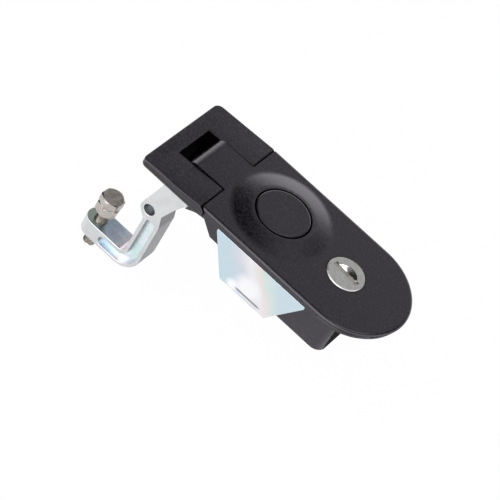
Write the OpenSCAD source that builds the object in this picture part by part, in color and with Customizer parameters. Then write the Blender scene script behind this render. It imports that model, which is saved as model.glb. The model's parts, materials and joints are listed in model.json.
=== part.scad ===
// Flush compression latch: a hinged lever with push button and key lock pulls a hook arm against a frame.
// Origin: centre of the panel cut-out on the panel's outer face, X along the lever, Z out of the panel.

/* [Panel] */
// Thickness of the panel that the latch is clamped to
panel_t = 1.0; // [0.8:0.1:2.5]
// Length of the panel cut-out
cutout_l = 101; // [97:0.5:106]
// Width of the panel cut-out
cutout_w = 45; // [43:0.5:47]
// Clearance between the housing and the cut-out, each side
cutout_clear = 0.35; // [0.2:0.05:0.6]

/* [Cover] */
// Width across the head and the lever
cover_w = 55; // [52:0.5:60]
// Height of the lever's top above the panel
cover_top = 5.4; // [5.2:0.1:7]
// Overhang of the head past the cut-out
head_overhang = 6.0; // [5:0.5:9]
// Length of the head's top
head_l = 31.6; // [30:0.2:33]
// Height of the head above the panel at its free end
head_low = 3.1; // [2.6:0.1:4]
// Drop from the lever's top to the head's top at the gap
head_step = 0.4; // [0.1:0.1:1]
// Radius of the head's corners, seen from above
head_corner_r = 3; // [1:0.5:6]
// Thickness of the head's roof and bezel
head_wall = 2.2; // [1.6:0.1:2.4]
// Gap between the head and the lever
cover_gap = 1.0; // [0.8:0.1:1.6]
// Lean of that gap along the latch for each millimetre of height
gap_lean = 1.36; // [1.2:0.02:1.5]
// Overhang of the lever's round end past the cut-out
lever_overhang = 17.8; // [15:0.2:24]

/* [Lever] */
// Thickness of the lever at its sides
lever_t = 2.4; // [2:0.1:2.6]
// Radius along the lever's upper edge
lever_edge_r = 1.5; // [0.5:0.1:1.8]
// Thickness of the finger lip at the round end
lip_t = 1.2; // [0.8:0.1:1.8]
// Width of the undercut behind the finger lip
lip_w = 7.5; // [4:0.5:12]
// Thickness of the stiffening ribs
rib_t = 1.8; // [1.2:0.1:2.4]
// Depth of the stiffening ribs below the lever's plate
rib_h = 6.2; // [3:0.2:6.6]
// Depth of the rim inside the tray's walls
rim_h = 2.5; // [1.5:0.1:4]

/* [Tongue] */
// Width of the tongue in the head's window
tongue_w = 21.2; // [20:0.2:24]
// Reach of the tongue past the gap
tongue_l = 18.8; // [16:0.2:20]
// Radius of the tongue's rounded front
tongue_r = 5; // [3:0.2:6]
// Gap between the tongue and each side of the window
tongue_gap = 0.4; // [0.3:0.05:0.8]
// Open length of the window in front of the tongue
window_l = 5.2; // [4.6:0.1:6]

/* [Dome and button] */
// Place of the dome along the latch
dome_x = 0.3; // [-1:0.1:3]
// Diameter of the dome
dome_d = 48.4; // [40:0.2:49]
// Rise of the dome at its centre
dome_rise = 2.5; // [1.5:0.1:4]
// Diameter of the push button
button_d = 25.1; // [20:0.1:28]
// Gap round the push button
button_gap = 0.3; // [0.2:0.05:0.6]
// Height of the button above the lever's top plane
button_proud = 2.0; // [1.2:0.1:3.5]
// Radius round the button's upper edge
button_edge_r = 0.8; // [0.3:0.1:1.4]
// Thickness of the button's face
button_t = 2.2; // [1.6:0.1:3]
// Travel of the push button
button_travel = 2.5; // [1.5:0.1:2.8]
// Diameter of the button's stem
stem_d = 8; // [6:0.2:10]
// Depth of the button's cup below the lever's top plane
cup_depth = 6.0; // [5.6:0.1:6.4]
// Thickness of the cup's wall
cup_wall = 2.0; // [1.4:0.1:2.6]
// Thickness of the cup's floor
cup_floor = 1.6; // [1.2:0.1:2.2]
// Thickness of the button's spring wire
button_wire = 0.9; // [0.6:0.05:1.2]

/* [Catch] */
// Place of the catch's pin along the latch, from the button's axis
catch_dx = 13.2; // [12:0.1:15]
// Depth of the catch's pin below the panel face
catch_z = 5.6; // [5.2:0.1:6.4]
// Thickness of the catch
catch_w = 5.2; // [4:0.2:6]
// Diameter of the catch's pin
catch_pin_d = 3; // [2.4:0.1:3.6]
// Length of the catch's leg below its pin
catch_leg = 9.3; // [8.8:0.1:9.8]
// Thickness of the catch's leg and lever arm
catch_t = 3; // [2.2:0.1:3.6]
// Section of the keeper bar in the tray
keeper_t = 2.2; // [1.6:0.1:2.4]

/* [Key lock] */
// Place of the lock along the latch
lock_x = 36.5; // [35.5:0.1:38]
// Diameter of the lock's face
lock_face_d = 17.6; // [16:0.1:19]
// Thickness of the lock's face
lock_face_t = 1.2; // [1:0.1:1.6]
// Height of the lock's face above the lever
lock_proud = 0.5; // [0.2:0.1:0.8]
// Chamfer round the lock's face
lock_chamfer = 0.45; // [0.2:0.05:0.6]
// Diameter of the lock's barrel
barrel_d = 16; // [14:0.2:16.2]
// Length of the lock's barrel
barrel_l = 13.8; // [12:0.2:14.6]
// Diameter of the turning plug
plug_d = 11; // [9:0.2:12]
// Diameter of the round that bounds the half-moon in the lock's face
recess_d = 11.4; // [10:0.1:11.6]
// Place of that round's centre across the lock
recess_y = -1.2; // [-1.6:0.1:-0.8]
// Depth of the half-moon's scoop at that centre
recess_depth = 1.6; // [1:0.1:1.8]
// Height of the key slot
keyway_h = 2.4; // [1.8:0.1:2.6]
// Length of the key slot
keyway_l = 13.2; // [11:0.1:14]
// Depth of the shutter in the key slot below the face
shutter_depth = 0.5; // [0.3:0.05:0.6]
// Thickness of the shutter
shutter_t = 0.4; // [0.3:0.05:0.5]
// Turn of the plug when the latch is unlocked
face_turn = -4.6; // [-8:0.1:0]
// Wall of the lever's boss round the barrel
boss_wall = 2.4; // [1.6:0.1:2.8]
// Reach of the cam from the lock's axis
cam_reach = 19.8; // [16:0.1:20]
// Thickness of the cam
cam_t = 2; // [1.5:0.1:2.5]

/* [Housing] */
// Thickness of the gasket
gasket_t = 1.2; // [0.8:0.1:1.6]
// Thickness of the flange under the lever
flange_t = 1.5; // [1.2:0.1:1.5]
// Inset of the flange behind the lever's edge
flange_inset = 1.0; // [0.4:0.1:2]
// Inset of the gasket behind the lever's edge
gasket_inset = 2.1; // [1:0.1:3]
// Thickness of the tray's walls
tray_wall = 1.6; // [1.2:0.1:2]
// Radius of the tray's corners, seen from above
tray_corner_r = 5; // [3:0.2:8]
// Depth of the tray's deep part below the panel face
tray_depth = 18.4; // [17.2:0.1:20]
// Depth of the tray's shallow part below the panel face
shallow_depth = 10.6; // [9:0.1:11]
// Place of the step between the shallow and the deep part
step_x = -6.5; // [-9:0.1:-5]
// Place where the sloped end meets the shallow floor
slope_x = -15.8; // [-17:0.1:-14.6]
// Angle of the sloped end from the floor
slope_deg = 43; // [40:1:46]
// Thickness of the cheeks that carry the lever
cheek_t = 4; // [3:0.2:5]
// Depth of the cheeks below the panel face
cheek_depth = 11.5; // [10:0.1:12.4]
// Depth of the wall at the end of the window, in its middle
throat_depth = 15.4; // [13.4:0.1:15.6]
// Depth of that wall at its sides
throat_side = 12.4; // [12:0.1:13]
// Thickness of the guide ribs beside the arm, at their tops
guide_t = 1.0; // [0.8:0.1:1.2]
// Thickness of the guide ribs at their feet
guide_foot = 2.7; // [2:0.1:2.8]
// Depth of the rim that fits the cut-out
collar_depth = 4; // [3:0.1:5]

/* [Lever pivot] */
// Place of the lever's pivot along the latch
pivot_x = -31.5; // [-32:0.1:-31]
// Depth of the lever's pivot below the panel face
pivot_z = 8.1; // [7.8:0.1:8.6]
// Diameter of the pivot pins
pivot_d = 5; // [4:0.1:6]
// Radius of the lever's ears round the pivot
ear_r = 5; // [4.4:0.1:5.6]
// Radius of the cheeks round the pivot
cheek_r = 4.5; // [4:0.1:5]
// Depth of the stop horn on each cheek below the panel face
horn_depth = 15.6; // [14:0.1:16]

/* [Hook arm] */
// Width of the arm
arm_w = 12; // [10:0.2:13]
// Gap between the arm and each ear
arm_gap = 0.8; // [0.4:0.1:1.4]
// Diameter of the arm's pin
arm_pin_d = 4; // [3.4:0.1:4.6]
// Radius of the arm's eye
arm_eye_r = 3.6; // [3.2:0.1:3.8]
// Offset of the arm's pin along the latch from the pivot
link_x = 1.0; // [0.6:0.1:1.6]
// Height of the arm's pin above the pivot
link_z = 6.9; // [6.6:0.1:7]
// Place of the shank's inner face along the latch
shank_x = -49.3; // [-51:0.1:-48]
// Depth of the shank, front to back
shank_t = 9.0; // [8:0.1:10]
// Narrowing of the shank's back at the cross hole
shank_taper = 1.9; // [1.5:0.1:2.4]
// Depth of the hook's upper face below the panel
hook_depth = 71.1; // [65:0.1:76]
// Thickness of the hook
hook_t = 8.7; // [8:0.1:11]
// Reach of the bolt's axis from the shank's inner face
hook_reach = 17.9; // [15:0.1:22]
// Length of the hook's end past a round about the bolt
hook_nose = 0.8; // [0.2:0.1:3]
// Radius of the elbow's outside
elbow_r = 11; // [8:0.2:14]
// Radius of the elbow's inside
elbow_in_r = 3; // [1.5:0.1:5]
// Depth of the cross hole below the panel
hole_depth = 40.0; // [37:0.1:42]
// Diameter of the cross hole
hole_d = 5.6; // [5:0.1:6.4]
// Wall round the cross hole
hole_wall = 1.9; // [1.4:0.1:2.4]
// Depth of the pocket in each side of the arm
pocket_depth = 2.8; // [1:0.1:3.4]
// Width of the rim round the pocket
pocket_rim = 2.0; // [1.4:0.1:2.6]

/* [Grip bolt] */
// Diameter of the bolt
bolt_d = 6; // [5:0.1:6.6]
// Length of the bolt under its head
bolt_l = 28.5; // [26:0.5:36]
// Width across the flats of the head and the nut
hex_af = 10; // [9:0.1:11]
// Height of the bolt's head
bolt_head_h = 4; // [3:0.1:5]
// Height of the nut
nut_h = 5.2; // [4:0.1:5.6]
// Distance from the head's underside to the hook
bolt_reach = 11.7; // [10:0.1:13]
// Turn of the head's hexagon
head_turn = 27; // [0:1:60]
// Turn of the nut's hexagon
nut_turn = 40; // [0:1:60]

/* [Bracket] */
// Thickness of the bracket's sheet
bracket_t = 1.5; // [1:0.1:2]
// Gap between the bracket and the tray's sides
bracket_gap = 0.65; // [0.3:0.05:1]
// Place of the bracket's middle along the latch
bracket_x = 10.4; // [9.5:0.1:12]
// Length of the bracket's edge at the panel
bracket_top_l = 48.8; // [40:0.1:56]
// Length of the bracket's strap under the tray
bracket_low_l = 24.8; // [18:0.1:30]
// Gap between the tray and the bracket's strap
bracket_drop = 4.2; // [2:0.1:5]
// Inner radius of the bracket's folds
bend_r = 1.6; // [1:0.1:2.4]
// Distance between the two screws
screw_pitch = 22; // [18:0.2:26]
// Diameter of the screws
screw_d = 4; // [3:0.1:4.6]
// Diameter of the screw bosses
boss_d = 8; // [7:0.1:9]

/* [Fits] */
// Radial clearance of a turning or sliding fit
run_clear = 0.05; // [0.02:0.01:0.09]
// Gap between parts that pass each other
free_gap = 0.3; // [0.25:0.05:0.4]

/* [Hidden] */
$fn = 64;
eps = 0.01;
far = 200;
arc_step = 7.5;
moulded_black = [0.10, 0.10, 0.11];
rubber_black = [0.06, 0.06, 0.06];
zinc_grey = [0.80, 0.81, 0.83];
bright_zinc = [0.84, 0.86, 0.88];
nickel_grey = [0.66, 0.64, 0.61];
satin_nickel = [0.69, 0.69, 0.68];
spring_steel = [0.55, 0.55, 0.57];

// Cover and housing
hw = cover_w / 2;
tray_hw = cutout_w / 2 - cutout_clear;
tray_x = cutout_l / 2 - cutout_clear;
head_x = -cutout_l / 2 - head_overhang;
gap_x = head_x + head_l;
head_high = cover_top - head_step;
lever_x = gap_x + cover_gap;
lever_low = cover_top - lever_t;
end_r = hw;
end_x = cutout_l / 2 + lever_overhang - end_r;
flange_top = gasket_t + flange_t;
head_foot = gap_x + gap_lean * (head_high - flange_top);
slot_hw = tongue_w / 2 + tongue_gap;
tongue_x = gap_x - tongue_l;
window_x = tongue_x - window_l;
tray_floor = -tray_depth + tray_wall;
inner_hw = tray_hw - tray_wall;
slope_run = 1 / tan(slope_deg);
slope_wall = tray_wall / sin(slope_deg);
notch_z = lever_low - rib_h - 1.2;

// Button and catch
cup_r = button_d / 2 + button_gap;
cup_z = cover_top - cup_depth;
cup_low = cup_z - cup_floor;
button_z = cover_top + button_proud;
button_in = button_z - button_t;
skirt_low = cup_z + button_travel + 2 * free_gap;
stem_low = cup_low - 1.4;
nose_r = 1.6;
nose_low = stem_low - 2.4;
clip_t = 0.7;
clip_z = cup_low - 0.15 - clip_t;
catch_x = dome_x + catch_dx;
tip_r = 1.5;
tip_z = nose_low - free_gap - tip_r;
catch_r = 2.6;
lug_t = 2;
lug_gap = 0.3;
lug_in = catch_w / 2 + lug_gap;
leg_low = -catch_z - catch_leg;
nose_t = 2.2;
keeper_x = catch_x - catch_t / 2 - 1;
keeper_low = leg_low + nose_t + free_gap;
spring_side = lug_in + lug_t;
catch_wire = 0.6;
catch_coil_l = 2.4;

// Key lock
face_z = cover_top + lock_proud;
face_low = face_z - lock_face_t;
barrel_top = face_low - 0.1;
barrel_low = barrel_top - barrel_l;
boss_low = lever_low - rib_h;
boss_r = barrel_d / 2 + boss_wall;
tang_af = 6;
cam_top = barrel_low - free_gap;
cam_low = cam_top - cam_t;
cam_hub_r = 6.5;
slot_low = face_z - shutter_depth - shutter_t;
moon_low = face_z - recess_depth - 0.5;
cam_w = 9;
cam_screw_d = 3;

// Lever pivot and arm
ear_in = arm_w / 2 + arm_gap;
pivot = [pivot_x, -pivot_z];
link = pivot + [link_x, link_z];
cheek_out = slot_hw + cheek_t;
hook_top = -hook_depth;
hook_low = hook_top - hook_t;
back_x = shank_x + shank_t;
bolt_x = shank_x - hook_reach;
hole_c = [shank_x + 0.6, -hole_depth];
hole_r = hole_d / 2;
bolt_head_low = hook_top + bolt_reach;

// Bracket
strap_top = -tray_depth - bracket_drop;
strap_low = strap_top - bracket_t;
bracket_in = tray_hw + bracket_gap;
bracket_out = bracket_in + bracket_t;
washer_t = 0.8;
screw_tip = tray_floor + 3.6;

// Points of an outline [x, z, radius] with each corner rounded to its radius
function unit(v) = v / norm(v);
function corner(a, b, c, r) =
    let (u = unit(a - b), v = unit(c - b), half = acos(u * v) / 2,
        m = b + unit(u + v) * r / sin(half),
        s = b + u * r / tan(half) - m, e = b + v * r / tan(half) - m,
        a0 = atan2(s[1], s[0]), turn = atan2(s[0] * e[1] - s[1] * e[0], s * e),
        n = max(1, ceil(abs(turn) / arc_step)))
    [for (i = [0:n]) m + r * [cos(a0 + turn * i / n), sin(a0 + turn * i / n)]];
function xy(p) = [p[0], p[1]];
function rounded(pts) =
    [for (i = [0:len(pts) - 1])
        let (k = len(pts), a = xy(pts[(i + k - 1) % k]), b = xy(pts[i]), c = xy(pts[(i + 1) % k]))
        each pts[i][2] > 0 ? corner(a, b, c, pts[i][2]) : [b]];

// An XZ outline carried across the latch, centred on its middle plane
module across(width) {
    rotate([90, 0, 0]) linear_extrude(width, center = true) children();
}

// The same on both sides, between two distances from the middle plane
module both_sides(inside, outside) {
    for (side = [-1, 1]) translate([0, side * (inside + outside) / 2, 0]) across(outside - inside) children();
}

module plan(low, high) {
    translate([0, 0, low]) linear_extrude(high - low) children();
}

module round_rect(x0, x1, half, r) {
    translate([x0 + r, -half]) square([x1 - x0 - 2 * r, 2 * half]);
    translate([x0, r - half]) square([x1 - x0, 2 * (half - r)]);
    for (x = [x0 + r, x1 - r], y = [r - half, half - r]) translate([x, y]) circle(r);
}

// Outline of the lever's cover from x0 to its round end, drawn in by an inset
module cover_outline(x0, inset) {
    translate([x0, inset - hw]) square([end_x - x0, 2 * (hw - inset)]);
    translate([end_x, 0]) circle(end_r - inset);
}

module head_outline() {
    translate([head_x, head_corner_r - hw]) square([far, 2 * (hw - head_corner_r)]);
    translate([head_x + head_corner_r, -hw]) square([far, 2 * hw]);
    for (y = [head_corner_r - hw, hw - head_corner_r])
        translate([head_x + head_corner_r, y]) circle(head_corner_r);
}

// Round wire along a path, and the path of a coil wound along Z
function tangent(path, i) = unit(path[min(i + 1, len(path) - 1)] - path[max(i - 1, 0)]);
function carried(n, t) = unit(n - (n * t) * t);
function helix(r, length, turns, steps = 20) =
    [for (i = [0:turns * steps]) [r * cos(360 * i / steps), r * sin(360 * i / steps), length * i / (turns * steps)]];

module wire(path, d, up, sides = 8) {
    last = len(path) - 1;
    normals = [for (i = 0, n = carried(up, tangent(path, 0)); i <= last; i = i + 1, n = carried(n, tangent(path, i))) n];
    points = [for (i = [0:last], j = [0:sides - 1])
        let (n = normals[i], b = cross(tangent(path, i), n), a = 360 * j / sides)
        path[i] + d / 2 * (cos(a) * n + sin(a) * b)];
    walls = [for (i = [0:last - 1], j = [0:sides - 1])
        let (k = (j + 1) % sides)
        [i * sides + j, (i + 1) * sides + j, (i + 1) * sides + k, i * sides + k]];
    ends = [[for (j = [0:sides - 1]) j], [for (j = [sides - 1:-1:0]) last * sides + j]];
    polyhedron(points, concat(walls, ends), convexity = 6);
}

module retaining_ring(inside, outside, t) {
    linear_extrude(t) difference() {
        circle(outside);
        circle(inside);
        translate([0, -inside * 0.7]) square([2 * outside, inside * 1.4]);
    }
}

module hex_prism(af, low, high, chamfer_low, chamfer_high) {
    corner_r = af / sqrt(3);
    cut = corner_r - af / 2 * 0.96;
    rise = cut * tan(30);
    intersection() {
        translate([0, 0, low]) cylinder(r = corner_r, h = high - low, $fn = 6);
        rotate_extrude() polygon([[0, low], [corner_r - (chamfer_low ? cut : 0), low],
            [corner_r, low + (chamfer_low ? rise : 0)], [corner_r, high - (chamfer_high ? rise : 0)],
            [corner_r - (chamfer_high ? cut : 0), high], [0, high]]);
    }
}

// Housing
module head_block() {
    intersection() {
        plan(gasket_t, cover_top) head_outline();
        across(cover_w) polygon([[head_x, gasket_t], [head_foot, gasket_t], [head_foot, flange_top],
            [gap_x, head_high], [head_x, head_low]]);
    }
}

module head_pockets() {
    roof = (head_high - head_low) / head_l;
    x0 = -tray_x + tray_wall;
    x1 = slope_x - (shallow_depth + gasket_t) * slope_run - 1;
    both_sides(cheek_out, inner_hw)
        polygon([[x0, -far], [x1, -far], [x1, head_low + roof * (x1 - head_x) - head_wall],
            [x0, head_low + roof * (x0 - head_x) - head_wall]]);
}

module tray_block() {
    across(2 * tray_hw) polygon([[slope_x - (shallow_depth + flange_top) * slope_run, flange_top],
        [slope_x, -shallow_depth], [step_x + 2 * tray_corner_r, -shallow_depth],
        [step_x + 2 * tray_corner_r, flange_top]]);
    plan(-tray_depth, flange_top) round_rect(step_x, tray_x, tray_hw, tray_corner_r);
}

module tray_hollow() {
    floor_z = -shallow_depth + tray_wall;
    roof_z = flange_top - tray_wall;
    foot_x = slope_x + slope_wall - tray_wall * slope_run;
    across(2 * inner_hw) polygon([[foot_x - (roof_z - floor_z) * slope_run, roof_z], [foot_x, floor_z],
        [step_x + 2 * tray_corner_r, floor_z], [step_x + 2 * tray_corner_r, far],
        [head_foot, far], [head_foot, roof_z]]);
    plan(-tray_depth + tray_wall, far)
        round_rect(step_x + tray_wall, tray_x - tray_wall, inner_hw, tray_corner_r - tray_wall);
}

module collar() {
    plan(-collar_depth, flange_top) difference() {
        round_rect(-tray_x, tray_x, tray_hw, tray_corner_r);
        round_rect(-tray_x + tray_wall, tray_x - tray_wall, inner_hw, tray_corner_r - tray_wall);
    }
}

module cheeks() {
    low_x = slope_x - 6.5;
    both_sides(slot_hw, cheek_out) {
        polygon([[-tray_x, flange_top], [-tray_x, -cheek_depth], [pivot_x - 0.2, -cheek_depth],
            [pivot_x - 1.9, -horn_depth], [pivot_x + 3.2, -cheek_depth - 1.4], [low_x, -cheek_depth - 0.6],
            [slope_x, -shallow_depth], [slope_x - (shallow_depth + flange_top) * slope_run, flange_top]]);
        translate(pivot) circle(cheek_r);
    }
}

module throat_block(x0, x1) {
    translate([x0, 0, 0]) rotate([90, 0, 90]) linear_extrude(x1 - x0)
        polygon([[-cheek_out, flange_top], [cheek_out, flange_top], [cheek_out, -throat_side],
            [slot_hw, -throat_depth], [-slot_hw, -throat_depth], [-cheek_out, -throat_side]]);
}

module throat_wall() {
    rib_top = -cheek_depth + 1;
    throat_block(-tray_x, window_x);
    intersection() {
        throat_block(window_x - eps, window_x + guide_foot);
        both_sides(ear_in, cheek_out) polygon([[window_x - eps, rib_top], [window_x + guide_t, rib_top],
            [window_x + guide_foot, -throat_depth], [window_x - eps, -throat_depth]]);
    }
}

module screw_places() {
    for (side = [-1, 1]) translate([bracket_x, side * screw_pitch / 2, 0]) children();
}

module keeper() {
    post_in = lug_in + 0.8;
    post_t = 2.4;
    translate([keeper_x - keeper_t, 0, 0]) {
        for (side = [-1, 1]) translate([0, side * (post_in + post_t / 2) - post_t / 2, tray_floor - eps])
            cube([keeper_t, post_t, keeper_low + keeper_t - tray_floor + eps]);
        translate([0, -post_in - eps, keeper_low]) cube([keeper_t, 2 * (post_in + eps), keeper_t]);
    }
}

module housing() {
    color(moulded_black) difference() {
        union() {
            difference() {
                union() {
                    head_block();
                    plan(gasket_t, flange_top) cover_outline(gap_x, flange_inset);
                    tray_block();
                    collar();
                    cheeks();
                    throat_wall();
                    screw_places() translate([0, 0, strap_top]) cylinder(d = boss_d, h = bracket_drop + eps);
                }
                tray_hollow();
                head_pockets();
                translate([window_x, -slot_hw, notch_z]) cube([slope_x - window_x, 2 * slot_hw, far]);
                both_sides(slot_hw - eps, cheek_out + far) translate(pivot) circle(d = pivot_d);
            }
            screw_places() translate([0, 0, tray_floor - eps]) cylinder(d = boss_d, h = screw_tip - tray_floor + 1);
            keeper();
        }
        screw_places() translate([0, 0, strap_top - 1]) cylinder(d = screw_d, h = screw_tip - strap_top + 1);
    }
}

module gasket() {
    color(rubber_black) plan(0, gasket_t) difference() {
        union() {
            intersection() {
                head_outline();
                translate([-far, -hw]) square([far + gap_x, cover_w]);
            }
            cover_outline(gap_x - eps, gasket_inset);
        }
        round_rect(-cutout_l / 2, cutout_l / 2, cutout_w / 2, tray_corner_r + cutout_clear);
    }
}

// Lever
module lever_plate() {
    flat = hw - lever_edge_r;
    round_z = cover_top - lever_edge_r;
    start = lever_x - 1;
    difference() {
        union() {
            plan(lever_low, round_z) cover_outline(start, 0);
            plan(lever_low, cover_top) cover_outline(start, lever_edge_r);
            for (side = [-1, 1]) translate([start, side * flat, round_z]) rotate([0, 90, 0])
                cylinder(r = lever_edge_r, h = end_x - start);
            translate([end_x, 0, round_z]) rotate_extrude() translate([flat, 0]) circle(lever_edge_r);
        }
        translate([-far / 2, -far / 2, lever_low - far]) cube(far);
        across(cover_w + 2) polygon([[lever_x, cover_top], [lever_x + gap_lean * (lever_t + 1), lever_low - 1],
            [start - 1, lever_low - 1], [start - 1, cover_top + 1], [lever_x, cover_top + 1]]);
        translate([end_x, 0, 0]) rotate([0, 0, -90]) rotate_extrude(angle = 180)
            polygon([[end_r - lip_w, lever_low], [end_r + 1, cover_top - lip_t + (lever_t - lip_t) / lip_w],
                [end_r + 1, lever_low - 1], [end_r - lip_w, lever_low - 1]]);
    }
}

module dome() {
    r = dome_d / 2;
    sphere_r = (r * r + dome_rise * dome_rise) / (2 * dome_rise);
    translate([dome_x, 0, 0]) intersection() {
        translate([0, 0, cover_top + dome_rise - sphere_r]) sphere(sphere_r);
        translate([0, 0, lever_low]) cylinder(r = r, h = far);
    }
}

module tongue() {
    front = [tongue_x + tongue_r, cover_top - tongue_r];
    drop = front[1] - 1.6;
    across(tongue_w) difference() {
        union() {
            translate(front) circle(tongue_r);
            translate([front[0], lever_low]) square([dome_x - front[0], lever_t]);
            translate([tongue_x, drop]) square([lever_t, front[1] - drop]);
        }
        translate(front) circle(tongue_r - lever_t);
        translate([tongue_x + lever_t, front[1] - far]) square([far, far]);
        translate([tongue_x - far / 2, drop - far]) square([far, far]);
        translate([front[0], lever_low - far]) square([far, far]);
    }
}

module ears() {
    both_sides(ear_in, tongue_w / 2) difference() {
        union() {
            polygon([[tongue_x + tongue_r, lever_low + eps], pivot + [-ear_r, 0], pivot + [ear_r, 0],
                [lever_x + 2, lever_low - rib_h], [lever_x + 5, lever_low + eps]]);
            translate(pivot) circle(ear_r);
        }
        translate(pivot) circle(pivot_d / 2 + run_clear);
        translate(link) circle(d = arm_pin_d);
    }
    both_sides(tongue_w / 2 - rib_t, tongue_w / 2)
        translate([lever_x + 2, lever_low - rib_h]) square([dome_x - lever_x - 2, rib_h + eps]);
}

module long_ribs() {
    place = tongue_w / 2;
    both_sides(place - rib_t, place)
        translate([dome_x, lever_low - rib_h]) square([lock_x - dome_x, rib_h + eps]);
    for (x = [dome_x, (dome_x + lock_x + cup_r - boss_r) / 2])
        translate([x - rib_t / 2, -inner_hw + 1, lever_low - rim_h]) cube([rib_t, 2 * inner_hw - 2, rim_h + eps]);
}

module lever_rim() {
    edge = inner_hw - 0.5;
    r = tray_corner_r;
    right = tray_x - tray_wall - 0.6;
    left = lever_x + gap_lean * lever_t + 2;
    plan(lever_low - rim_h, lever_low + eps) difference() {
        round_rect(left, right, edge, r);
        round_rect(left + rib_t, right - rib_t, edge - rib_t, r - rib_t);
    }
}

module catch_lugs() {
    both_sides(lug_in, lug_in + lug_t) difference() {
        union() {
            translate([catch_x, -catch_z]) circle(catch_r);
            translate([catch_x - catch_r, -catch_z]) square([2 * catch_r, catch_z + lever_low]);
        }
        translate([catch_x, -catch_z]) circle(d = catch_pin_d);
    }
}

module lever() {
    color(moulded_black) difference() {
        union() {
            lever_plate();
            dome();
            tongue();
            ears();
            long_ribs();
            lever_rim();
            catch_lugs();
            translate([dome_x, 0, cup_low]) cylinder(r = cup_r + cup_wall, h = lever_low - cup_low + eps);
            translate([lock_x, 0, boss_low]) cylinder(r = boss_r, h = lever_low - boss_low + eps);
        }
        translate([dome_x, 0, cup_z]) cylinder(r = cup_r, h = far);
        translate([dome_x, 0, cup_low - 1]) cylinder(r = stem_d / 2 + run_clear, h = far);
        translate([lock_x, 0, boss_low - 1]) cylinder(d = barrel_d, h = far);
        translate([lock_x, 0, barrel_top]) cylinder(d = lock_face_d + 2 * 0.2, h = far);
    }
}

// Pins
module pivot_pin(side) {
    head_r = pivot_d / 2 + 0.9;
    translate([pivot_x, 0, -pivot_z]) rotate([side * -90, 0, 0]) {
        translate([0, 0, ear_in]) cylinder(d = pivot_d, h = cheek_out - ear_in);
        translate([0, 0, cheek_out]) cylinder(r = head_r, h = 1.2);
    }
}

module pivot_pin_left() {
    color(spring_steel) pivot_pin(-1);
}

module pivot_pin_right() {
    color(spring_steel) pivot_pin(1);
}

module arm_pin() {
    color(spring_steel) translate([link[0], 0, link[1]]) rotate([90, 0, 0])
        cylinder(d = arm_pin_d, h = tongue_w, center = true);
}

// Hook arm
module arm_outline() {
    boss_x = hole_c[0] - hole_r - hole_wall;
    neck = arm_eye_r * 0.94;
    polygon(rounded([
        [bolt_x, hook_low, 0],
        [back_x, hook_low, elbow_r],
        [back_x - 0.3, hole_c[1] - 5, 6],
        [back_x - shank_taper, hole_c[1] + 1.6, 2.5],
        [back_x + 2.5, hole_c[1] + 12.6, 20],
        [link[0] + neck, link[1] - 7.5, 6],
        [link[0] + neck, link[1], 0],
        [link[0] - neck * 0.75, link[1] + neck * 0.66, 0],
        [shank_x + 2.3, link[1] - 13.4, 8],
        [boss_x + 0.9, hole_c[1] + 2.5, 3],
        [boss_x + 0.6, hole_c[1] - 2.4, 3],
        [shank_x, hole_c[1] - 6.4, 3],
        [shank_x, hook_top, elbow_in_r],
        [bolt_x, hook_top, 0]]));
    translate(link) circle(arm_eye_r);
    translate(hole_c) circle(hole_r + hole_wall);
}

module pocket_outline() {
    start_x = bolt_x + bolt_d / 2 + 2.2;
    top = hook_top - pocket_rim - 0.2;
    low = hook_low + pocket_rim - 0.3;
    r = (top - low) / 2 - 0.05;
    end_z = hole_c[1] - hole_r - hole_wall - 0.5;
    polygon(rounded([
        [start_x, low, r],
        [back_x - pocket_rim, low, elbow_r - pocket_rim],
        [back_x - pocket_rim - 0.3, end_z, 0.8],
        [shank_x + pocket_rim, end_z, 0.8],
        [shank_x + pocket_rim, top, elbow_in_r + 1.4],
        [start_x, top, r]]));
}

module hook_arm() {
    color(zinc_grey) difference() {
        union() {
            across(arm_w) arm_outline();
            plan(hook_low, hook_top) {
                translate([bolt_x - hook_nose, -arm_w / 2]) square([hook_reach / 2, arm_w]);
                translate([bolt_x - hook_nose, 0]) circle(d = arm_w);
            }
        }
        both_sides(arm_w / 2 - pocket_depth, arm_w) pocket_outline();
        across(2 * arm_w) {
            translate(hole_c) circle(hole_r);
            translate(link) circle(arm_pin_d / 2 + run_clear);
        }
        translate([bolt_x, 0, hook_low - 1]) cylinder(r = bolt_d / 2 + run_clear, h = hook_t + 2);
    }
}

// Grip bolt
module grip_bolt() {
    color(nickel_grey) translate([bolt_x, 0, 0]) {
        rotate(head_turn) hex_prism(hex_af, bolt_head_low, bolt_head_low + bolt_head_h, false, true);
        translate([0, 0, bolt_head_low - bolt_l]) {
            cylinder(d1 = bolt_d - 1.6, d2 = bolt_d, h = 0.8);
            translate([0, 0, 0.8]) cylinder(d = bolt_d, h = bolt_l - 0.8 + eps);
        }
    }
}

module lock_nut() {
    top = bolt_head_low - 0.2;
    color(nickel_grey) translate([bolt_x, 0, 0]) difference() {
        rotate(nut_turn) hex_prism(hex_af, top - nut_h, top, true, true);
        translate([0, 0, top - nut_h - 1]) cylinder(d = bolt_d, h = nut_h + 2);
    }
}

// Bracket
module bracket_section(half, low, r) {
    translate([-half, low + r]) square([2 * half, -panel_t - low - r]);
    translate([r - half, low]) square([2 * (half - r), far / 4]);
    for (side = [-1, 1]) translate([side * (half - r), low + r]) circle(r);
}

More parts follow.
